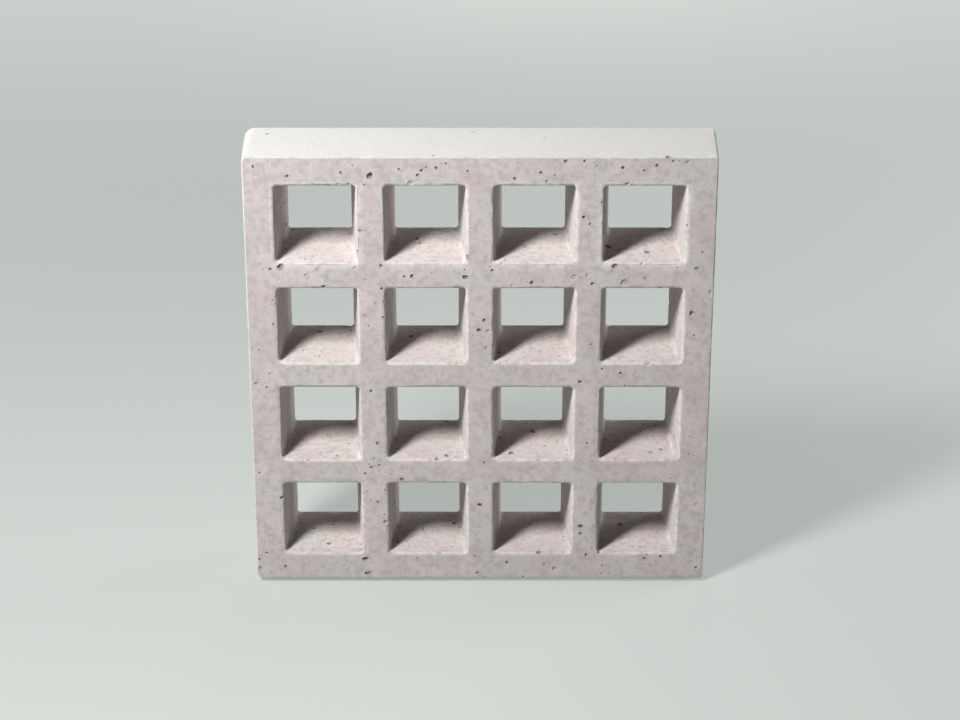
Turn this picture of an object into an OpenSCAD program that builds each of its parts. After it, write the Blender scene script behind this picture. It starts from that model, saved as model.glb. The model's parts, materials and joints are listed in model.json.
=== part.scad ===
// A square screen block of cast concrete with a grid of tapered openings.
// It stands on its bed, with its decorative face towards -Y. The origin is at floor level,
// below the middle of the block. All sizes are in millimetres.

/* [Block] */
// Width and height of the back face, which is the larger one
back_size = 390; // [350:5:600]
// Thickness from the decorative face to the back face
depth = 65; // [40:1:100]
// How far each side face slopes inwards from the back face to the decorative face
side_taper = 3.25; // [1:0.25:6]
// Radius of the four long corners where they meet the decorative face
corner_radius = 3.75; // [2.25:0.25:8]
// Radius of the rolled edge around the decorative face
face_round = 1.25; // [0.5:0.25:2]

/* [Openings] */
// Openings in a row, and rows of them
opening_count = 4; // [2:1:5]
// Width of the ribs between openings, on the decorative face
rib_face = 20; // [16:1:28]
// Width of the frame around all the openings, on the decorative face
frame_face = 23.75; // [20:0.25:35]
// How far each wall of an opening slopes inwards from the decorative face to the back face
opening_taper = 8.5; // [3:0.25:9]
// Radius of the upright corners inside an opening, on the decorative face
opening_radius = 3; // [1:0.25:6]
// Width of the eased edge around the mouth of an opening
mouth_ease = 1.5; // [0.5:0.25:3]

/* [Hidden] */

// Driving sizes seen from the middle of a face
face_size = back_size - 2 * side_taper;
corner_axis = face_size / 2 - corner_radius;
side_slope = side_taper / depth;

// The grid of openings
pitch = (face_size - 2 * frame_face + rib_face) / opening_count;
opening_face = pitch - rib_face;
opening_slope = opening_taper / depth;

// The cutters run this far past both faces
past = 1;

// Straight pieces in a rolled edge, and sides in a full turn of an opening's corner
edge_steps = 3;
corner_sides = 16;

// Width of an opening at a distance behind the decorative face
function opening_at(z) = opening_face - 2 * z * opening_slope;

// Distance of an outer side face from the corner axis, at a distance behind the decorative face
function side_at(z) = corner_radius + z * side_slope;

// The rolled edge is an arc that leaves the face flat and ends along the sloping side
edge_turn = 90 - atan(side_slope);
edge_centre = side_at(face_round) - face_round / cos(atan(side_slope));
edge_arc = [
    for (i = [0 : edge_steps])
        let (turn = edge_turn * i / edge_steps)
        [edge_centre + face_round * sin(turn), face_round * (1 - cos(turn))]
];

// Half of the block's section outside a corner axis: out from the axis, and back from the face
rim_profile = concat([[0, 0]], edge_arc, [[side_at(depth), depth], [0, depth]]);

// The same rim on both ends of a straight section
bar_profile = concat(
    [for (p = edge_arc) [corner_axis + p[0], p[1]]],
    [[corner_axis + side_at(depth), depth], [-corner_axis - side_at(depth), depth]],
    [for (i = [edge_steps : -1 : 0]) [-corner_axis - edge_arc[i][0], edge_arc[i][1]]]
);

// A straight stretch of the block between two corner axes, drawn with its face at z = 0
module bar() {
    rotate([90, 0, 0])
        translate([0, 0, -corner_axis])
            linear_extrude(height = 2 * corner_axis)
                polygon(bar_profile);
}

// A long outer corner, whose radius grows from the decorative face to the back face
module long_corner() {
    rotate_extrude($fn = 64)
        polygon(rim_profile);
}

// The block before its openings are cored
module blank() {
    bar();
    rotate([0, 0, 90])
        bar();
    for (x = [-1, 1], y = [-1, 1])
        translate([x * corner_axis, y * corner_axis, 0])
            long_corner();
}

module rounded_square(size, radius) {
    offset(r = radius, $fn = corner_sides)
        square(size - 2 * radius, center = true);
}

// A square tube of air that changes its width evenly from z0 to z1
module taper(z0, width0, z1, width1) {
    translate([0, 0, z0])
        linear_extrude(height = z1 - z0, scale = width1 / width0)
            rounded_square(width0, opening_radius * width0 / opening_face);
}

// One opening: a tapered core, and the eased edge around its mouth
module opening() {
    mouth = opening_at(mouth_ease) + 2 * mouth_ease;
    taper(-past, opening_at(-past), depth + past, opening_at(depth + past));
    taper(-past, mouth + 2 * past, mouth_ease, opening_at(mouth_ease));
}

module opening_grid() {
    middle = (opening_count - 1) / 2;
    for (column = [0 : opening_count - 1], row = [0 : opening_count - 1])
        translate([(column - middle) * pitch, (row - middle) * pitch, 0])
            opening();
}

// The block upright, with its face to the front
module screen_block() {
    color("gainsboro")
        translate([0, -depth / 2, back_size / 2])
            rotate([-90, 0, 0])
                difference() {
                    blank();
                    opening_grid();
                }
}

screen_block();
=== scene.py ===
import json
import math

import bmesh
import bpy
from mathutils import Matrix, Vector

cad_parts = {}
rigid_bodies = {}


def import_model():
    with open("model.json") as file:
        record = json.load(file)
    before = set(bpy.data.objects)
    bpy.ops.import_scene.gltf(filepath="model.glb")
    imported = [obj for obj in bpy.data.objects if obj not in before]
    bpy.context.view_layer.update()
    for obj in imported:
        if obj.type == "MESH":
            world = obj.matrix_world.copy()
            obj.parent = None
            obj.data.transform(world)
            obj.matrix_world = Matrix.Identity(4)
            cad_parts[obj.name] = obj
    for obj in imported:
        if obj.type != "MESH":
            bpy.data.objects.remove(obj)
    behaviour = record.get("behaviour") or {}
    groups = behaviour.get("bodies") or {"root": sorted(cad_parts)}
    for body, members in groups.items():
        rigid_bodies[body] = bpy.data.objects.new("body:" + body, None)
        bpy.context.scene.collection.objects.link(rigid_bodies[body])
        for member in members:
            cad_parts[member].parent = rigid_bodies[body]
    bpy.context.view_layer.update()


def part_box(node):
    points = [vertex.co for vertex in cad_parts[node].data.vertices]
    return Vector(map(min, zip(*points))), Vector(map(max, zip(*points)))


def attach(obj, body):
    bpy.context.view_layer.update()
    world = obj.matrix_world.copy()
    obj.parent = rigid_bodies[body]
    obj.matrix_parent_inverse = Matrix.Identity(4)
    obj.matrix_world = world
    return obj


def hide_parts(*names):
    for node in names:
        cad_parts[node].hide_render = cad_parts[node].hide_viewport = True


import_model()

mm = 0.001
blockLow, blockHigh = (Vector(corner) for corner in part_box("screen_block"))
blockCentre = (blockLow + blockHigh) / 2
print("frame loaded: block of", [round(side / mm) for side in blockHigh - blockLow], "mm")


def linearColour(hexCode):
    # From sRGB hex to the linear light that a socket takes
    channels = [int(hexCode[place:place + 2], 16) / 255 for place in (1, 3, 5)]
    return (*(c / 12.92 if c <= 0.04045 else ((c + 0.055) / 1.055) ** 2.4 for c in channels), 1)


def addNode(tree, kind, inputs=None, **settings):
    # An input is found by its name or place, and takes a value, a socket, a node or a list of nodes
    node = tree.nodes.new(kind)
    for name, value in settings.items():
        setattr(node, name, value)
    for key, value in (inputs or {}).items():
        live = [socket for socket in node.inputs if socket.enabled]
        socket = live[key] if isinstance(key, int) else next(s for s in live if s.name == key)
        if isinstance(value, (int, float, tuple, str)):
            socket.default_value = value
            continue
        for source in value if isinstance(value, list) else [value]:
            if isinstance(source, bpy.types.Node):
                source = next(output for output in source.outputs if output.enabled)
            tree.links.new(source, socket)
    return node


def newObject(name, data):
    thing = bpy.data.objects.new(name, data)
    bpy.context.scene.collection.objects.link(thing)
    return thing


# The view of the photograph, in millimetres and degrees
view = {
    "tilt": 23.77,          # how far the camera looks down
    "distance": 2105,       # from the camera to the point that it aims at
    "lens": 95,
    "aimUp": 12.9,          # that point lies this far above the middle of the decorative face
}


def placeCamera():
    tilt = math.radians(view["tilt"])
    forward = Vector((0, math.cos(tilt), -math.sin(tilt)))
    up = Vector((0, math.sin(tilt), math.cos(tilt)))
    aim = Vector((blockCentre.x, blockLow.y, blockCentre.z)) + up * view["aimUp"] * mm
    camera = newObject("camera", bpy.data.cameras.new("camera"))
    camera.data.lens = view["lens"]
    camera.location = aim - forward * view["distance"] * mm
    camera.rotation_euler = forward.to_track_quat("-Z", "Y").to_euler()
    bpy.context.scene.camera = camera


# The casting, in millimetres, as its mould maker would note it
casting = {
    "openings": 4,          # in a row, and rows of them
    "rib": 23,              # between two openings, on the decorative face
    "frame": 25.25,         # around all the openings, on the decorative face
    "sideTaper": 3.25,      # how far each side leans in towards the decorative face
    "openingTaper": 7,      # how far each wall of an opening leans in towards the back
    "faceCorners": (3, 4, 5, 3),        # outer corners, anticlockwise from the upper right
    "backCorners": (6.5, 10, 8, 6.5),   # the same at the back, seen from the front
    "faceRoll": 1.3,        # radius of the worn edge around the decorative face
    "mouthRoll": 2.6,       # radius of the worn edge around the mouth of an opening
    "backRoll": 0.8,        # radius of the edges on the back, which the mould kept sharper
    "openingCorner": 3.0,   # radius of the corners inside an opening, at its mouth
    "rollSteps": 5,         # strips that make a rolled edge round
    "cornerSteps": 5,       # strips that make a corner round
    "corePast": 4,          # how far the cores run past both faces
    "netSize": 6,           # spacing of the mesh lines that the unevenness moves
}
width, depth = ((blockHigh[axis] - blockLow[axis]) / mm for axis in (0, 1))
faceWidth = width - 2 * casting["sideTaper"]
pitch = (faceWidth - 2 * casting["frame"] + casting["rib"]) / casting["openings"]
mouthWidth = pitch - casting["rib"]


def rolledEdge(radius, slope):
    # Points from a face round to a side that leans out by slope: out from their corner, and back
    lean = math.atan(slope)
    steps = casting["rollSteps"]
    centre = radius * slope - radius / math.cos(lean)
    turns = [(math.pi / 2 - lean) * step / steps for step in range(steps + 1)]
    return [(centre + radius * math.sin(turn), radius * (1 - math.cos(turn))) for turn in turns]


def blankStations():
    # From the decorative face back: distance behind it, half width there and the four corner radii
    slope = casting["sideTaper"] / depth
    front = [(back, faceWidth / 2 + out, [radius + out for radius in casting["faceCorners"]])
             for out, back in rolledEdge(casting["faceRoll"], slope)]
    rear = [(depth - back, width / 2 + out, [radius + out for radius in casting["backCorners"]])
            for out, back in rolledEdge(casting["backRoll"], -slope)]
    return front + rear[::-1]


def coreStations():
    # The same for a core, which flares out where the edges of the concrete are rolled
    slope = casting["openingTaper"] / depth
    half = mouthWidth / 2
    narrow = half - casting["openingTaper"]
    radius = casting["openingCorner"]
    front = [(back, half - out, [radius - out] * 4)
             for out, back in rolledEdge(casting["mouthRoll"], slope)]
    rear = [(depth - back, narrow - out, [radius * narrow / half - out] * 4)
            for out, back in rolledEdge(casting["backRoll"], -slope)]
    past = casting["corePast"]
    return [(-past, *front[0][1:])] + front + rear[::-1] + [(depth + past, *rear[0][1:])]


def roundedSquare(half, radii):
    points = []
    for corner, radius in enumerate(radii):
        middle = Vector((half - radius, half - radius))
        middle.rotate(Matrix.Rotation(corner * math.pi / 2, 2))
        for step in range(casting["cornerSteps"] + 1):
            angle = math.pi / 2 * (corner + step / casting["cornerSteps"])
            points.append(middle + radius * Vector((math.cos(angle), math.sin(angle))))
    return points


def loftedMesh(name, stations, height):
    # Rounded squares joined from the decorative face to the back, around a middle at that height
    form = bmesh.new()
    rings = [[form.verts.new((point.x * mm, blockLow.y + back * mm, height + point.y * mm))
              for point in roundedSquare(half, radii)] for back, half, radii in stations]
    for near, far in zip(rings, rings[1:]):
        for index, corner in enumerate(near):
            following = (index + 1) % len(near)
            form.faces.new((corner, near[following], far[following], far[index]))
    form.faces.new(rings[0])
    form.faces.new(rings[-1])
    bmesh.ops.recalc_face_normals(form, faces=form.faces)
    mesh = bpy.data.meshes.new(name)
    form.to_mesh(mesh)
    form.free()
    return mesh


def startTree(name, sockets):
    tree = bpy.data.node_groups.new(name, "GeometryNodeTree")
    tree.interface.new_socket("Geometry", in_out="OUTPUT", socket_type="NodeSocketGeometry")
    tree.interface.new_socket("Geometry", in_out="INPUT", socket_type="NodeSocketGeometry")
    for label, kind in sockets.items():
        tree.interface.new_socket(label, in_out="INPUT", socket_type="NodeSocket" + kind)
    return tree, addNode(tree, "NodeGroupInput").outputs


def endTree(tree, shape, finish):
    solid = addNode(tree, "GeometryNodeRealizeInstances", {"Geometry": shape})
    painted = addNode(tree, "GeometryNodeSetMaterial", {"Geometry": solid, "Material": finish})
    addNode(tree, "NodeGroupOutput", {"Geometry": painted})


def bakeTree(thing, tree, values):
    modifier = thing.modifiers.new(tree.name, "NODES")
    modifier.node_group = tree
    for socket in tree.interface.items_tree:
        if socket.in_out == "INPUT" and socket.name in values:
            modifier[socket.identifier] = values[socket.name]
    bpy.context.view_layer.update()
    evaluated = thing.evaluated_get(bpy.context.evaluated_depsgraph_get())
    baked = bpy.data.meshes.new_from_object(evaluated)
    thing.modifiers.remove(modifier)
    plain, thing.data = thing.data, baked
    bpy.data.meshes.remove(plain)


def openingTree():
    # A square grid of cores is cut from the blank
    tree, given = startTree("openingGrid", {
        "Core": "Object", "Openings": "Int", "Spacing": "Float", "Height": "Float",
        "Finish": "Material"})
    gaps = addNode(tree, "ShaderNodeMath", {0: given["Openings"], 1: 1.0}, operation="SUBTRACT")
    span = addNode(tree, "ShaderNodeMath", {0: gaps, 1: given["Spacing"]}, operation="MULTIPLY")
    grid = addNode(tree, "GeometryNodeMeshGrid", {
        "Size X": span, "Size Y": span,
        "Vertices X": given["Openings"], "Vertices Y": given["Openings"]})
    middle = addNode(tree, "ShaderNodeCombineXYZ", {"Z": given["Height"]})
    upright = addNode(tree, "GeometryNodeTransform", {
        "Geometry": grid, "Translation": middle, "Rotation": (math.pi / 2, 0, 0)})
    core = addNode(tree, "GeometryNodeObjectInfo", {"Object": given["Core"]})
    cores = addNode(tree, "GeometryNodeInstanceOnPoints", {
        "Points": upright, "Instance": core.outputs["Geometry"]})
    realCores = addNode(tree, "GeometryNodeRealizeInstances", {"Geometry": cores})
    cored = addNode(tree, "GeometryNodeMeshBoolean", {
        "Mesh 1": given["Geometry"], "Mesh 2": realCores},
        operation="DIFFERENCE", solver="MANIFOLD")
    endTree(tree, cored, given["Finish"])
    return tree


def drawNet(thing):
    # Lines cut across the mesh let its flat stretches be made uneven
    form = bmesh.new()
    form.from_mesh(thing.data)
    for axis in range(3):
        count = math.ceil((blockHigh[axis] - blockLow[axis]) / mm / casting["netSize"])
        direction = Vector([float(axis == other) for other in range(3)])
        for line in range(1, count):
            bmesh.ops.bisect_plane(form, geom=form.verts[:] + form.edges[:] + form.faces[:],
                                   plane_co=blockLow.lerp(blockHigh, line / count),
                                   plane_no=direction, dist=1e-6)
    bmesh.ops.triangulate(form, faces=[face for face in form.faces if len(face.verts) > 4])
    form.to_mesh(thing.data)
    form.free()


# What casting and handling do to the surface: depths and wavelengths in millimetres
wear = {
    "swell": 0.35,          # slow hollows of the mould face
    "swellWave": 70,
    "ripple": 0.12,
    "rippleWave": 14,
    "rubbing": 0.9,         # most that an edge has lost to handling
    "rubbingWave": 9,
    "rubbingFrom": 0.42,    # noise up to which an edge has lost nothing
    "deepest": 0.78,        # noise at which each of the three is at its full depth
    "sideBand": 1.5,        # the outer sides begin this far inside the edge of the decorative face
    "arrisAngle": 8,        # degrees between two faces from which an edge is an arris
    "smoothAngle": 32,      # degrees up to which two faces are shaded as one
}


def wearTree():
    # Everything moves inwards, so the casting stays inside its mould
    tree, given = startTree("wornSurface", {
        "Swell": "Float", "Swell wave": "Float", "Ripple": "Float", "Ripple wave": "Float",
        "Rubbing": "Float", "Rubbing wave": "Float", "Arris angle": "Float", "Middle": "Vector",
        "Half face": "Float", "Side band": "Float", "Finish": "Material"})
    fold = addNode(tree, "GeometryNodeInputMeshEdgeAngle")
    folded = addNode(tree, "FunctionNodeCompare", {"A": fold, "B": given["Arris angle"]},
                     data_type="FLOAT", operation="GREATER_THAN")
    marked = addNode(tree, "GeometryNodeStoreNamedAttribute", {
        "Geometry": given["Geometry"], "Name": "arris", "Value": folded},
        data_type="FLOAT", domain="POINT")
    arris = addNode(tree, "GeometryNodeInputNamedAttribute", {"Name": "arris"}, data_type="FLOAT")
    place = addNode(tree, "GeometryNodeInputPosition")
    apart = addNode(tree, "ShaderNodeVectorMath", {
        0: place, 1: given["Middle"]}, operation="SUBTRACT")
    away = addNode(tree, "ShaderNodeSeparateXYZ", {
        0: addNode(tree, "ShaderNodeVectorMath", {0: apart}, operation="ABSOLUTE")})
    furthest = addNode(tree, "ShaderNodeMath", {
        0: away.outputs["X"], 1: away.outputs["Z"]}, operation="MAXIMUM")
    faceEdge = addNode(tree, "ShaderNodeMath", {
        0: given["Half face"], 1: given["Side band"]}, operation="SUBTRACT")
    beyond = addNode(tree, "ShaderNodeMapRange", {
        "Value": furthest, "From Min": faceEdge, "From Max": given["Half face"]})
    sided = addNode(tree, "GeometryNodeStoreNamedAttribute", {
        "Geometry": marked, "Name": "side", "Value": beyond}, data_type="FLOAT", domain="POINT")
    depths = {}
    for label, detail, start in (("Swell", 1.0, 0.0), ("Ripple", 2.0, 0.0),
                                 ("Rubbing", 3.0, wear["rubbingFrom"])):
        scale = addNode(tree, "ShaderNodeMath", {
            0: 1.0, 1: given[label + " wave"]}, operation="DIVIDE")
        noise = addNode(tree, "ShaderNodeTexNoise", {
            "Vector": place, "Scale": scale, "Detail": detail})
        depths[label] = addNode(tree, "ShaderNodeMapRange", {
            "Value": noise, "From Min": start, "From Max": wear["deepest"], "To Max": given[label]})
    rubbed = addNode(tree, "ShaderNodeMath", {
        0: depths["Rubbing"], 1: arris}, operation="MULTIPLY")
    uneven = addNode(tree, "ShaderNodeMath", {
        0: depths["Swell"], 1: depths["Ripple"]}, operation="ADD")
    inward = addNode(tree, "ShaderNodeMath", {0: uneven, 1: rubbed}, operation="ADD")
    outward = addNode(tree, "ShaderNodeMath", {0: inward, 1: -1.0}, operation="MULTIPLY")
    offset = addNode(tree, "ShaderNodeVectorMath", {
        0: addNode(tree, "GeometryNodeInputNormal"), "Scale": outward}, operation="SCALE")
    moved = addNode(tree, "GeometryNodeSetPosition", {"Geometry": sided, "Offset": offset})
    endTree(tree, moved, given["Finish"])
    return tree


# Air pores and chipped edges: sizes in millimetres, and the most that a square metre has of them.
# Sink is how deep the middle of a pit lies, as a share of its radius: below zero it is shallow.
# Pit shade is how much painted shade darkens the inside of a pit: full in deep pits, less in
# shallow ones and chips.
pits = {
    "marked": {"Density": 0, "Spacing": 6.0, "Smallest": 2.0, "Largest": 4.0, "Sink": -0.1,
               "Shape": 1.0, "Pit shade": 1.0, "On arris": 0.0, "Seed": 5},
    "large": {"Density": 1150, "Spacing": 5.0, "Smallest": 2.3, "Largest": 5.8, "Sink": -0.15,
              "Shape": 1.1, "Pit shade": 1.0, "On arris": 0.0, "Seed": 7},
    "small": {"Density": 1500, "Spacing": 2.6, "Smallest": 1.1, "Largest": 2.2, "Sink": -0.1,
              "Shape": 1.0, "Pit shade": 1.0, "On arris": 0.0, "Seed": 19},
    "shallow": {"Density": 900, "Spacing": 6.0, "Smallest": 3.0, "Largest": 8.0, "Sink": -0.72,
                "Shape": 0.8, "Pit shade": 0.35, "On arris": 0.0, "Seed": 11},
    "chips": {"Density": 4000, "Spacing": 9, "Smallest": 2.5, "Largest": 6.0, "Sink": -0.62,
              "Shape": 1.6, "Pit shade": 0.2, "On arris": 1.0, "Seed": 3},
}
# How the scattered ones gather, and how their forms vary
pitting = {
    "driftSize": 1000 / 22,     # of the stretches where they lie thick, in millimetres
    "driftFrom": 0.35,          # noise where such a stretch begins
    "driftFull": 0.62,          # and where it is at its thickest
    "driftLeast": 0.15,         # share that is left outside these stretches
    "sideLeast": 0.15,          # share that is left on the outer sides
    "sizePower": 2.2,           # over 1, most of them are small
    "stretch": (0.8, 1.2),      # least and most along each axis
    "rounding": 2,              # 1 makes a pebble of twenty faces, and 2 splits each in four
    "lumpSize": 1000 / 700,     # of the unevenness in their walls, in millimetres
}
# The listed pores that stand out on the decorative face: across and up from its middle, and wide
facePores = [
    (86, -148, 4.2), (142, 184, 3.6), (84, 140, 3.6), (89, 134, 2.8), (92, 82, 3.0), (135, 87, 3.0),
    (69, 188, 3.4), (84, 188, 2.8), (-155, 175, 3.2), (-112, 178, 3.2), (-65, 181, 2.8),
    (-47, 180, 3.0), (-50, 176, 3.2), (-35, 182, 3.6), (49, 178, 3.0), (28, 173, 3.4),
    (-171, 95, 3.0), (-81, 98, 3.2), (-86, -63, 3.0), (-92, -85, 2.4), (-97, -91, 2.8),
    (-167, -180, 3.2), (141, -172, 3.4), (55, -177, 3.0), (132, 180, 2.6), (60, 176, 2.2),
]


def pitTree():
    # Rough pebbles are scattered over the concrete, joined by the marked ones, and cut out of it
    tree, given = startTree("pits", {
        "Marks": "Object", "Density": "Float", "Spacing": "Float", "Smallest": "Float",
        "Largest": "Float", "Sink": "Float", "Shape": "Float", "Pit shade": "Float", "On arris": "Float",
        "Seed": "Int", "Finish": "Material"})
    place = addNode(tree, "GeometryNodeInputPosition")
    arris = addNode(tree, "GeometryNodeInputNamedAttribute", {"Name": "arris"}, data_type="FLOAT")
    drift = addNode(tree, "ShaderNodeTexNoise", {
        "Vector": place, "Scale": 1 / (pitting["driftSize"] * mm), "Detail": 1.0})
    gathered = addNode(tree, "ShaderNodeMapRange", {
        "Value": drift, "From Min": pitting["driftFrom"], "From Max": pitting["driftFull"],
        "To Min": pitting["driftLeast"]})
    onArris = addNode(tree, "ShaderNodeMix", {"Factor": given["On arris"], "A": 1.0, "B": arris})
    side = addNode(tree, "GeometryNodeInputNamedAttribute", {"Name": "side"}, data_type="FLOAT")
    smoother = addNode(tree, "ShaderNodeMapRange", {
        "Value": side, "To Min": 1.0, "To Max": pitting["sideLeast"]})
    both = addNode(tree, "ShaderNodeMath", {0: gathered, 1: onArris}, operation="MULTIPLY")
    share = addNode(tree, "ShaderNodeMath", {0: both, 1: smoother}, operation="MULTIPLY")
    scattered = addNode(tree, "GeometryNodeDistributePointsOnFaces", {
        "Mesh": given["Geometry"], "Distance Min": given["Spacing"],
        "Density Max": given["Density"], "Density Factor": share, "Seed": given["Seed"]},
        distribute_method="POISSON")
    draw = addNode(tree, "FunctionNodeRandomValue", {"Seed": given["Seed"]}, data_type="FLOAT")
    mostlySmall = addNode(tree, "ShaderNodeMath", {
        0: draw, 1: pitting["sizePower"]}, operation="POWER")
    size = addNode(tree, "ShaderNodeMapRange", {
        "Value": mostlySmall, "To Min": given["Smallest"], "To Max": given["Largest"]})
    sized = addNode(tree, "GeometryNodeStoreNamedAttribute", {
        "Geometry": scattered, "Name": "across", "Value": size}, data_type="FLOAT", domain="POINT")
    faced = addNode(tree, "GeometryNodeStoreNamedAttribute", {
        "Geometry": sized, "Name": "outward", "Value": scattered.outputs["Normal"]},
        data_type="FLOAT_VECTOR", domain="POINT")
    marks = addNode(tree, "GeometryNodeObjectInfo", {"Object": given["Marks"]})
    marked = addNode(tree, "GeometryNodeMeshToPoints", {"Mesh": marks.outputs["Geometry"]})
    points = addNode(tree, "GeometryNodeJoinGeometry", {"Geometry": [faced, marked]})
    across = addNode(tree, "GeometryNodeInputNamedAttribute", {"Name": "across"}, data_type="FLOAT")
    outward = addNode(tree, "GeometryNodeInputNamedAttribute", {"Name": "outward"},
                      data_type="FLOAT_VECTOR")
    radius = addNode(tree, "ShaderNodeMath", {0: across, 1: 0.5}, operation="MULTIPLY")
    sinkDepth = addNode(tree, "ShaderNodeMath", {0: radius, 1: given["Sink"]}, operation="MULTIPLY")
    sinkBack = addNode(tree, "ShaderNodeMath", {0: sinkDepth, 1: -1.0}, operation="MULTIPLY")
    sink = addNode(tree, "ShaderNodeVectorMath", {0: outward, "Scale": sinkBack}, operation="SCALE")
    sunk = addNode(tree, "GeometryNodeSetPosition", {"Geometry": points, "Offset": sink})
    turn = addNode(tree, "FunctionNodeRandomValue", {
        "Max": (math.tau,) * 3, "Seed": given["Seed"]}, data_type="FLOAT_VECTOR")
    least, most = pitting["stretch"]
    stretch = addNode(tree, "FunctionNodeRandomValue", {
        "Min": (least,) * 3, "Max": (most,) * 3, "Seed": given["Seed"]}, data_type="FLOAT_VECTOR")
    scale = addNode(tree, "ShaderNodeVectorMath", {0: stretch, "Scale": radius}, operation="SCALE")
    pebble = addNode(tree, "GeometryNodeMeshIcoSphere", {
        "Radius": 1.0, "Subdivisions": pitting["rounding"]})
    pebbles = addNode(tree, "GeometryNodeInstanceOnPoints", {
        "Points": sunk, "Instance": pebble, "Rotation": turn, "Scale": scale})
    realPebbles = addNode(tree, "GeometryNodeRealizeInstances", {"Geometry": pebbles})
    # The noise where it lies gives each pebble a shape of its own
    lumps = addNode(tree, "ShaderNodeTexNoise", {
        "Vector": place, "Scale": 1 / (pitting["lumpSize"] * mm), "Detail": 1.0})
    centred = addNode(tree, "ShaderNodeVectorMath", {
        0: lumps.outputs["Color"], 1: (0.5, 0.5, 0.5)}, operation="SUBTRACT")
    reach = addNode(tree, "ShaderNodeMath", {0: radius, 1: given["Shape"]}, operation="MULTIPLY")
    shift = addNode(tree, "ShaderNodeVectorMath", {0: centred, "Scale": reach}, operation="SCALE")
    rough = addNode(tree, "GeometryNodeSetPosition", {"Geometry": realPebbles, "Offset": shift})
    # Each pebble carries the share of painted shade that the inside of its pit gets
    inside = addNode(tree, "GeometryNodeStoreNamedAttribute", {
        "Geometry": rough, "Name": "pit", "Value": given["Pit shade"]},
        data_type="FLOAT", domain="POINT")
    pitted = addNode(tree, "GeometryNodeMeshBoolean", {
        "Mesh 1": given["Geometry"], "Mesh 2": inside}, operation="DIFFERENCE", solver="MANIFOLD")
    endTree(tree, pitted, given["Finish"])
    return tree


def markedPoints():
    # Loose points for the chosen pores, each with its width and the way its face looks
    mesh = bpy.data.meshes.new("face_pores")
    mesh.from_pydata([(across * mm, blockLow.y, blockCentre.z + up * mm)
                      for across, up, _ in facePores], [], [])
    across = mesh.attributes.new("across", "FLOAT", "POINT")
    across.data.foreach_set("value", [size * mm for _, _, size in facePores])
    outward = mesh.attributes.new("outward", "FLOAT_VECTOR", "POINT")
    outward.data.foreach_set("vector", [0.0, -1.0, 0.0] * len(facePores))
    return newObject("face_pores", mesh)


# The colours, and how each of them is spread over the paste
concrete = {
    "paste": "#D6CCCA",
    "pinkPatch": "#CDBEBE",
    "greenPatch": "#CDCBC6",
    "blotch": "#B9AFAC",
    "speck": "#9C918D",
    "moulded": "#C9CAC6",
    "grain": "#BBB0AD",
    "rubbed": "#E2DEDB",
    # painted shade: the colour that darkens the hollow of a pit
    "pitShade": "#8A7E7A",
    # Patterns: size in millimetres, the noise where it begins and is full, and its share there
    "pinkPattern": (34, 0.42, 0.62, 0.8),
    "greenPattern": (27, 0.45, 0.65, 0.8),
    "blotchPattern": (5, 0.45, 0.72, 0.8),
    "grainPattern": (1.8, 0.45, 0.75, 0.5),
    "rubbedPattern": (6, 0.3, 0.6, 0.8),
    "roughPattern": (9, 0.3, 0.7, 1.0),
    "speckSize": 3.4,       # millimetres across a cell that may hold one
    "speckHeart": 0.16,     # it is full up to here, in cells from its middle
    "speckRim": 0.28,       # and gone from here
    "speckFrom": 0.72,      # a cell holds one if its random shade is over this
    "mouldedShare": 0.85,   # of that colour on the outer sides
    "pitShadeShare": 0.75,      # of that colour in a pit that has its full painted shade
    "roughness": (0.8, 0.96),
    "diffuseRoughness": 0.6,
    "reliefDepth": 0.15,    # of the grains and specks, in millimetres
    "reliefStrength": 0.6,
}


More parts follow.
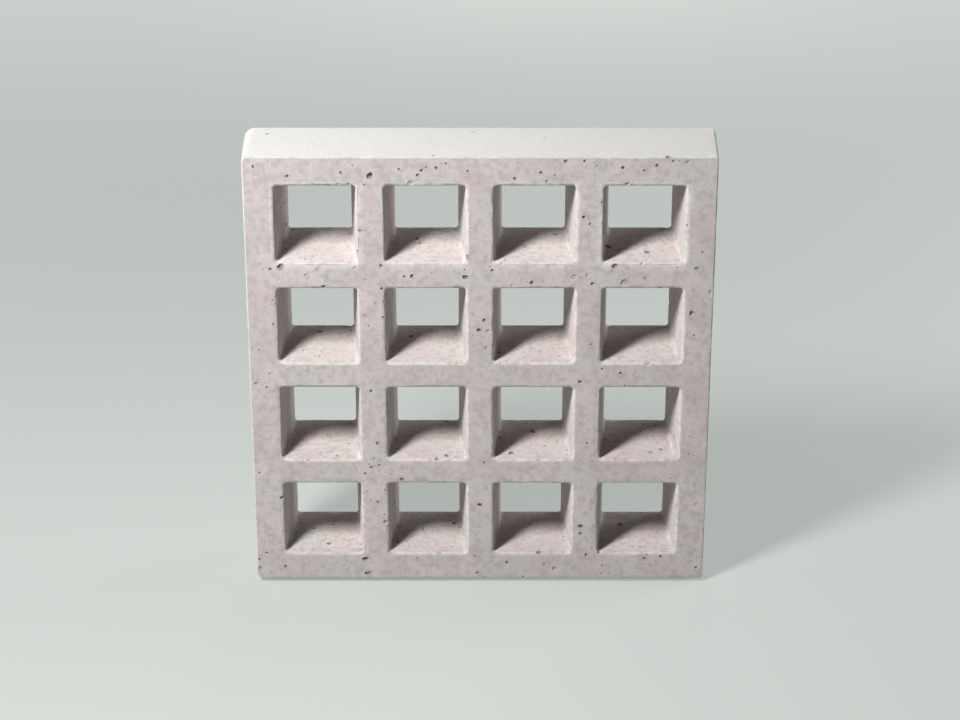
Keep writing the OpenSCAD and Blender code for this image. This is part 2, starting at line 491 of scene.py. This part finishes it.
def castWhiteConcrete():
    # White cement and pale sand, poured wet into a mould: near white and matt, clouded by the
    # mould oil and freckled with sand
    finish = bpy.data.materials.new("cast_white_concrete")
    finish.use_nodes = True
    tree = finish.node_tree
    tree.nodes.clear()
    place = addNode(tree, "ShaderNodeTexCoord").outputs["Object"]

    patterns = {}
    for name in ("pink", "green", "blotch", "grain", "rubbed", "rough"):
        size, start, full, share = concrete[name + "Pattern"]
        noise = addNode(tree, "ShaderNodeTexNoise", {
            "Vector": place, "Scale": 1 / (size * mm), "Detail": 2.0})
        patterns[name] = addNode(tree, "ShaderNodeMapRange", {
            "Value": noise, "From Min": start, "From Max": full, "To Max": share})
    cells = addNode(tree, "ShaderNodeTexVoronoi", {
        "Vector": place, "Scale": 1 / (concrete["speckSize"] * mm)})
    near = addNode(tree, "ShaderNodeMapRange", {
        "Value": cells.outputs["Distance"], "From Min": concrete["speckRim"],
        "From Max": concrete["speckHeart"]})
    chosen = addNode(tree, "ShaderNodeMath", {
        0: cells.outputs["Color"], 1: concrete["speckFrom"]}, operation="GREATER_THAN")
    specks = addNode(tree, "ShaderNodeMath", {0: near, 1: chosen}, operation="MULTIPLY")
    # The outer sides were cast against oiled boards, which left them whiter than the face
    side = addNode(tree, "ShaderNodeAttribute", attribute_name="side").outputs["Fac"]
    moulded = addNode(tree, "ShaderNodeMath", {
        0: side, 1: concrete["mouldedShare"]}, operation="MULTIPLY")
    arris = addNode(tree, "ShaderNodeAttribute", attribute_name="arris").outputs["Fac"]
    rubbed = addNode(tree, "ShaderNodeMath", {
        0: arris, 1: patterns["rubbed"]}, operation="MULTIPLY")
    # Painted shade: the inside of each pit is darkened, standing in for the shadow in its hollow
    pit = addNode(tree, "ShaderNodeAttribute", attribute_name="pit").outputs["Fac"]
    shadedPit = addNode(tree, "ShaderNodeMath", {
        0: pit, 1: concrete["pitShadeShare"]}, operation="MULTIPLY")
    colour = linearColour(concrete["paste"])
    for name, amount in (("pinkPatch", patterns["pink"]), ("greenPatch", patterns["green"]),
                         ("blotch", patterns["blotch"]), ("speck", specks), ("moulded", moulded),
                         ("grain", patterns["grain"]), ("rubbed", rubbed), ("pitShade", shadedPit)):
        colour = addNode(tree, "ShaderNodeMix", {
            "Factor": amount, "A": colour, "B": linearColour(concrete[name])}, data_type="RGBA")
    smooth, rough = concrete["roughness"]
    roughness = addNode(tree, "ShaderNodeMapRange", {
        "Value": patterns["rough"], "To Min": smooth, "To Max": rough})
    relief = addNode(tree, "ShaderNodeMath", {0: patterns["grain"], 1: specks}, operation="ADD")
    bump = addNode(tree, "ShaderNodeBump", {
        "Strength": concrete["reliefStrength"], "Distance": concrete["reliefDepth"] * mm,
        "Height": relief}, invert=True)
    surface = addNode(tree, "ShaderNodeBsdfPrincipled", {
        "Base Color": colour, "Roughness": roughness, "Normal": bump,
        "Diffuse Roughness": concrete["diffuseRoughness"]})
    addNode(tree, "ShaderNodeOutputMaterial", {"Surface": surface})
    return finish


def castBlock(finish):
    block = newObject("cast_block", loftedMesh("blank", blankStations(), blockCentre.z))
    core = newObject("core", loftedMesh("core", coreStations(), 0))
    bakeTree(block, openingTree(), {
        "Core": core, "Openings": casting["openings"], "Spacing": pitch * mm,
        "Height": blockCentre.z, "Finish": finish})
    bpy.data.objects.remove(core)
    print("openings cored:", len(block.data.polygons), "faces")
    drawNet(block)
    print("net drawn:", len(block.data.polygons), "faces")
    bakeTree(block, wearTree(), {
        "Swell": wear["swell"] * mm, "Swell wave": wear["swellWave"] * mm,
        "Ripple": wear["ripple"] * mm, "Ripple wave": wear["rippleWave"] * mm,
        "Rubbing": wear["rubbing"] * mm, "Rubbing wave": wear["rubbingWave"] * mm,
        "Arris angle": math.radians(wear["arrisAngle"]), "Middle": blockCentre[:],
        "Half face": faceWidth / 2 * mm, "Side band": wear["sideBand"] * mm, "Finish": finish})
    tree = pitTree()
    marks = markedPoints()
    for name, values in pits.items():
        given = {label: value * mm if label in ("Spacing", "Smallest", "Largest") else value
                 for label, value in values.items()}
        bakeTree(block, tree, {
            **given, "Marks": marks if name == "marked" else None, "Finish": finish})
        print(name, "pits cut:", len(block.data.polygons), "faces")
    bpy.data.objects.remove(marks)
    block.data.shade_smooth()
    block.data.set_sharp_from_angle(angle=math.radians(wear["smoothAngle"]))
    print("triangles:", sum(len(face.vertices) - 2 for face in block.data.polygons))
    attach(block, "root")
    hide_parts("screen_block")


# Paper floor and lamps: metres and watts, and places from the middle of the decorative face
studio = {
    "floorSize": 16,
    "floorColour": "#CDD4CF",
    "floorBounce": "#C6CAC7",   # what the floor sends back to the block
    "floorSeen": 0.55,      # least share of the floor's own colour in what the camera sees of it
    "sweepNear": 0.6,       # that share grows from here
    "sweepFar": 2.4,        # and the floor is all its own colour from here
    "skyColour": "#CDD4CF",
    "skyLight": 0.03,       # strength of the sky as a lamp, which the camera sees at 1
    "keyPlace": (-0.59, -0.66, 1.04),
    "keySize": (0.26, 0.5),     # across and high
    "keyPower": 22.8,
    "rimLeftPlace": (-1.45, 0.55, 0.35),
    "rimLeftSize": (0.8, 0.8),
    "rimLeftPower": 3,
    "rimRightPlace": (1.45, 0.55, 0.35),
    "rimRightSize": (0.8, 0.8),
    "rimRightPower": 12,
    "backPlace": (0.15, 2.4, 0.08),
    "backSize": (0.5, 0.5),
    "backPower": 16,
}


def seenDirectly(tree):
    # One for what the camera sees, straight on, in a reflection or through glass
    rays = addNode(tree, "ShaderNodeLightPath")
    mirrored = addNode(tree, "ShaderNodeMath", {
        0: rays.outputs["Is Camera Ray"], 1: rays.outputs["Is Glossy Ray"]}, operation="MAXIMUM")
    return addNode(tree, "ShaderNodeMath", {
        0: mirrored, 1: rays.outputs["Is Transmission Ray"]}, operation="MAXIMUM")


def seamlessPaper():
    # Matt studio paper, which takes the shadow but hides how the light falls off across it
    finish = bpy.data.materials.new("seamless_paper")
    finish.use_nodes = True
    tree = finish.node_tree
    tree.nodes.clear()
    seen = seenDirectly(tree)
    colour = linearColour(studio["floorColour"])
    shown = addNode(tree, "ShaderNodeMix", {
        "Factor": seen, "A": linearColour(studio["floorBounce"]), "B": colour}, data_type="RGBA")
    paper = addNode(tree, "ShaderNodeBsdfDiffuse", {"Color": shown})
    flat = addNode(tree, "ShaderNodeEmission", {"Color": colour})
    away = addNode(tree, "ShaderNodeVectorMath", {
        0: addNode(tree, "ShaderNodeTexCoord").outputs["Object"]}, operation="LENGTH")
    evenness = addNode(tree, "ShaderNodeMapRange", {
        "Value": away, "From Min": studio["sweepNear"], "From Max": studio["sweepFar"],
        "To Min": studio["floorSeen"]}, interpolation_type="SMOOTHSTEP")
    share = addNode(tree, "ShaderNodeMath", {0: seen, 1: evenness}, operation="MULTIPLY")
    surface = addNode(tree, "ShaderNodeMixShader", {0: share, 1: paper, 2: flat})
    addNode(tree, "ShaderNodeOutputMaterial", {"Surface": surface})
    return finish


def layFloor():
    half = studio["floorSize"] / 2
    mesh = bpy.data.meshes.new("floor")
    mesh.from_pydata([(-half, -half, 0), (half, -half, 0), (half, half, 0), (-half, half, 0)], [],
                     [(0, 1, 2, 3)])
    mesh.materials.append(seamlessPaper())
    newObject("floor", mesh)


def hangLamp(name):
    lamp = newObject(name, bpy.data.lights.new(name, "AREA"))
    lamp.data.shape = "ELLIPSE"
    lamp.data.size, lamp.data.size_y = studio[name + "Size"]
    lamp.data.energy = studio[name + "Power"]
    lamp.visible_camera = False
    middle = Vector((blockCentre.x, blockLow.y, blockCentre.z))
    lamp.location = middle + Vector(studio[name + "Place"])
    lamp.rotation_euler = (middle - lamp.location).to_track_quat("-Z", "Y").to_euler()


def lightSky():
    world = bpy.data.worlds.new("studio")
    world.use_nodes = True
    tree = world.node_tree
    tree.nodes.clear()
    strength = addNode(tree, "ShaderNodeMapRange", {
        "Value": seenDirectly(tree), "To Min": studio["skyLight"]})
    sky = addNode(tree, "ShaderNodeBackground", {
        "Color": linearColour(studio["skyColour"]), "Strength": strength})
    addNode(tree, "ShaderNodeOutputWorld", {"Surface": sky})
    bpy.context.scene.world = world


placeCamera()
castBlock(castWhiteConcrete())
layFloor()
for lampName in ("key", "rimLeft", "rimRight", "back"):
    hangLamp(lampName)
lightSky()
bpy.context.scene.view_settings.view_transform = "Standard"
print("studio lit")

for leftover in [o for o in bpy.data.objects if o.name in ("Cube", "Light", "Camera")]:
    bpy.data.objects.remove(leftover)
